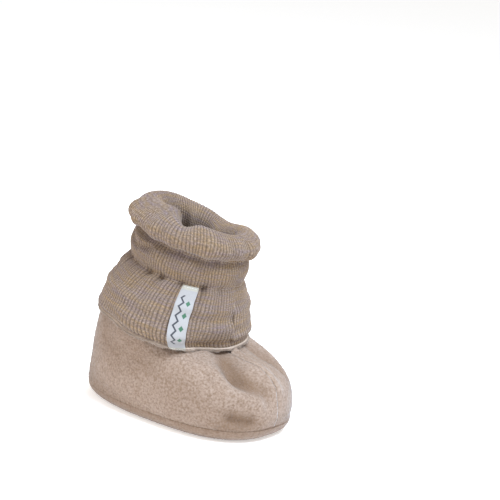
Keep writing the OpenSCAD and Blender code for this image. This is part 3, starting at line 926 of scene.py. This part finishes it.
def label():
    across, down = np.meshgrid(np.linspace(-0.5, 0.5, 41), np.linspace(0, 1, 121))
    a, v = label_place(across, down)
    mm_down = down * LABEL_SIZE[1]
    from_end = np.minimum(mm_down, LABEL_SIZE[1] - mm_down)
    turned = (from_end < TURNED_END).astype(float)
    edge = rounded((0.5 - np.abs(across)) * LABEL_SIZE[0], 0.5, 0.4) * rounded(from_end, 0.5, 0.4)
    outer = KNIT_IN - label_lift(across, down) - LABEL_THICK * 0.6 * edge * (1 + 0.5 * turned)
    front = skin(a, v, outer, -1)
    back = skin(a[::4, ::4], v[::4, ::4], KNIT_IN - label_lift(across, down)[::4, ::4], -1)
    points, faces = sheet_mesh(front, back, 4, 4)
    cloth = np.stack([across * LABEL_SIZE[0], mm_down, turned], -1)
    cloth = np.concatenate([cloth.reshape(-1, 3), cloth[::4, ::4].reshape(-1, 3)])
    return piece_from("woven_label_tape", points, faces, "woven_label", LABEL, cloth)


# ---------------------------------------------------------------- sewing
STITCH_LENGTH, STITCH_PITCH, THREAD_RADIUS = 1.7, 2.4, 0.17
LABEL_STITCH_PITCH, LABEL_STITCH_LENGTH, LABEL_THREAD_RADIUS = 1.5, 1.1, 0.14
STITCH_SIDES, STITCH_BEADS = 6, 7
LABEL_STITCH_ROWS = (0.035, 0.965)


def stitches(name, node_name, lines, material_used, pitch=STITCH_PITCH, length=STITCH_LENGTH,
             radius=THREAD_RADIUS, sink=0.25):
    """Separate stitches along lines of points, each a short thread with both ends in the cloth."""
    points, faces = [], []
    beads = np.linspace(0, 1, STITCH_BEADS)
    for path, out in lines:
        steps = np.linalg.norm(np.diff(path, axis=0), axis=1)
        along = np.concatenate([[0], np.cumsum(steps)])
        for i in range(int(along[-1] / pitch)):
            s = (i + 0.5) * pitch - length / 2 + beads * length
            centre = np.stack([np.interp(s, along, path[:, k]) for k in range(3)], -1)
            up = np.stack([np.interp(s, along, out[:, k]) for k in range(3)], -1)
            up /= np.linalg.norm(up, axis=1, keepdims=True)
            centre = centre - (sink * (2 * beads - 1) ** 4)[:, None] * up
            ahead = np.gradient(centre, axis=0)
            ahead /= np.linalg.norm(ahead, axis=1, keepdims=True)
            across = np.cross(ahead, up)
            across /= np.linalg.norm(across, axis=1, keepdims=True)
            upright = np.cross(across, ahead)
            base = len(points)
            for c, x, y in zip(centre, across, upright):
                for k in range(STITCH_SIDES):
                    t = 2 * math.pi * k / STITCH_SIDES
                    points.append(c + radius * (math.cos(t) * x + math.sin(t) * y))
            ids = base + np.arange(len(beads) * STITCH_SIDES).reshape(len(beads), STITCH_SIDES)
            faces += [f[::-1] for f in grid_faces(ids, True)]
            faces += [ids[0].tolist(), ids[-1].tolist()[::-1]]
    return piece_from(name, np.array(points), faces, node_name, material_used)


def line_stitches(name, node_name, angles, heights, distance, material_used):
    """Stitches along a line on the cloth, at a distance from its middle surface."""
    n = direction(middle, angles, heights)
    sign = 1 if distance >= 0 else -1
    line = (surface(angles, heights) + distance * n, sign * n)
    return stitches(name, node_name, [line], material_used)


LOOP_POINTS, SEAM_POINTS = 721, 600


def loop_stitches(name, node_name, v, distance, material_used):
    angles = np.linspace(0, 360, LOOP_POINTS)
    return line_stitches(name, node_name, angles, np.full_like(angles, v), distance, material_used)


def seam_stitches(name, node_name, angle, from_v, to_v, distance, material_used):
    heights = np.linspace(from_v, to_v, SEAM_POINTS)
    return line_stitches(name, node_name, np.full_like(heights, angle), heights, distance, material_used)


def label_seams():
    rows = []
    for down in LABEL_STITCH_ROWS:
        across = np.linspace(-0.4, 0.4, 40)
        a, v = label_place(across, np.full_like(across, down))
        n = direction(middle, a, v)
        d = KNIT_IN - label_lift(across, down) - LABEL_THICK * 0.9 - 0.05
        rows.append((skin(a, v, d, -1), -n))
    return rows


# ---------------------------------------------------------------- build
left_fleece, right_fleece = fleece_side(1), fleece_side(-1)
sole_fleece = fleece_sole()
left_knit, right_knit = knit_side(1), knit_side(-1)
sole_knit = knit_sole()
ankle_tape = elastic_tape("ankle_elastic_tape", "ankle_elastic", ANKLE_LOW, ANKLE_HIGH)
cuff_tape = elastic_tape("cuff_elastic_tape", "cuff_elastic", CREASE, GATHER)
label_tape = label()

# Seams are sewn from inside, so that their thread lies between the fleece and the knit
SEAM_THREAD = 0.36
FLEECE_LINE, KNIT_LINE = FLEECE_OUT + 0.1, KNIT_IN - 0.1
FLEECE_SEAM_ENDS, KNIT_SEAM_ENDS = (0.15, FLEECE_RIM - 0.4), (0.15, KNIT_RIM - 0.1)
fleece_seams = [
    seam_stitches("front_seam_stitches", "front_seam_thread", 0, *FLEECE_SEAM_ENDS,
                  SEAM_THREAD, FLEECE_THREAD),
    seam_stitches("back_seam_stitches", "back_seam_thread", 180, *FLEECE_SEAM_ENDS,
                  SEAM_THREAD, FLEECE_THREAD),
    loop_stitches("ankle_stitches_lower", "ankle_casing_stitch_lower", ANKLE_LOW, FLEECE_LINE,
                  FLEECE_THREAD),
    loop_stitches("ankle_stitches_upper", "ankle_casing_stitch_upper", ANKLE_HIGH, FLEECE_LINE,
                  FLEECE_THREAD),
    loop_stitches("rim_seam_stitches", "rim_seam_thread", RIM_SEAM, 0.0, FLEECE_THREAD),
]
knit_seams = [
    seam_stitches("lining_front_seam_stitches", "lining_front_seam_thread", 0, *KNIT_SEAM_ENDS,
                  -SEAM_THREAD, KNIT_THREAD),
    seam_stitches("lining_back_seam_stitches", "lining_back_seam_thread", 180, *KNIT_SEAM_ENDS,
                  -SEAM_THREAD, KNIT_THREAD),
    loop_stitches("cuff_stitches_upper", "cuff_casing_stitch_upper", CREASE, KNIT_LINE, KNIT_THREAD),
    loop_stitches("cuff_stitches_lower", "cuff_casing_stitch_lower", GATHER, KNIT_LINE, KNIT_THREAD),
]
sole_seam = loop_stitches("sole_seam_stitches", "sole_seam_thread", 0.0, SEAM_THREAD, FLEECE_THREAD)
knit_sole_seam = loop_stitches("lining_sole_seam_stitches", "lining_sole_seam_thread", 0.0,
                               -SEAM_THREAD, KNIT_THREAD)
label_seam = stitches("label_end_stitches", "label_stitches", label_seams(), WHITE_THREAD,
                      LABEL_STITCH_PITCH, LABEL_STITCH_LENGTH, LABEL_THREAD_RADIUS)


# ---------------------------------------------------------------- floor, light, camera
# Place and size in metres, power in watts, colour
LAMPS = {
    "key_light": ((0.50, -0.08, 1.10), 0.6, 25, (0.74, 0.86, 1.0)),
    "back_light": ((-0.5, 1.0, 0.8), 0.9, 7, (1.0, 0.98, 0.96)),
    "fill_light": ((-0.8, -0.85, 0.38), 0.9, 6.5, (1.0, 0.97, 0.92)),
}
LAMPS_AIM = Vector((0, 0, 0.05))
FLOOR_SIZE, FLOOR_COLOUR, FLOOR_GLOW = 6.0, (0.95, 0.95, 0.95, 1), 0.45
WORLD_COLOUR, WORLD_STRENGTH = (1.0, 0.975, 0.945, 1), 0.5


def studio():
    # a plain pale floor
    bpy.ops.mesh.primitive_plane_add(size=FLOOR_SIZE, location=(0, 0, 0))
    floor = bpy.context.object
    floor.name = "floor"
    m, nodes, links, shader = material("pale_floor", 0.9)
    shader.inputs["Base Color"].default_value = FLOOR_COLOUR
    shader.inputs["Emission Color"].default_value = (1, 1, 1, 1)
    shader.inputs["Emission Strength"].default_value = FLOOR_GLOW
    floor.data.materials.append(m)
    world = bpy.data.worlds.new("studio")
    bpy.context.scene.world = world
    world.use_nodes = True
    world.node_tree.nodes["Background"].inputs[0].default_value = WORLD_COLOUR
    world.node_tree.nodes["Background"].inputs[1].default_value = WORLD_STRENGTH

    def lamp(name, place, size, power_w, colour):
        light = bpy.data.lights.new(name, "AREA")
        light.size = size
        light.energy = power_w
        light.color = colour
        o = bpy.data.objects.new(name, light)
        bpy.context.collection.objects.link(o)
        o.location = place
        o.rotation_euler = (LAMPS_AIM - Vector(place)).to_track_quat("-Z", "Y").to_euler()

    for name, (place, size, power_w, colour) in LAMPS.items():
        lamp(name, place, size, power_w, colour)


CAMERA_AZIMUTH, CAMERA_ELEVATION, CAMERA_ROLL = 38.0, 15.2, 5.5
CAMERA_DISTANCE = 1.150
CAMERA_LENS = 143.9
# The object stands left of and below the middle of the picture
AIM_HEIGHT, AIM_RIGHT, AIM_UP = 0.055, 0.0350, 0.0390
AIM_X = -0.0022


def camera():
    a, e = math.radians(CAMERA_AZIMUTH), math.radians(CAMERA_ELEVATION)
    back = Vector((math.sin(a) * math.cos(e), -math.cos(a) * math.cos(e), math.sin(e)))
    level = (-back).to_track_quat("-Z", "Y").to_matrix()
    roll = Matrix.Rotation(math.radians(CAMERA_ROLL), 3, "Z")
    rolled = level @ roll
    target = Vector((AIM_X, 0, AIM_HEIGHT))
    place = target + back * CAMERA_DISTANCE
    aim = target + rolled @ Vector((AIM_RIGHT, AIM_UP, 0))
    look = (aim - place).to_track_quat("-Z", "Y").to_matrix() @ roll
    data = bpy.data.cameras.new("camera")
    data.lens = CAMERA_LENS
    data.clip_start, data.clip_end = 0.05, 20
    o = bpy.data.objects.new("camera", data)
    bpy.context.collection.objects.link(o)
    o.matrix_world = Matrix.Translation(place) @ look.to_4x4()
    bpy.context.scene.camera = o


studio()
camera()
bpy.context.scene.view_settings.view_transform = "Standard"
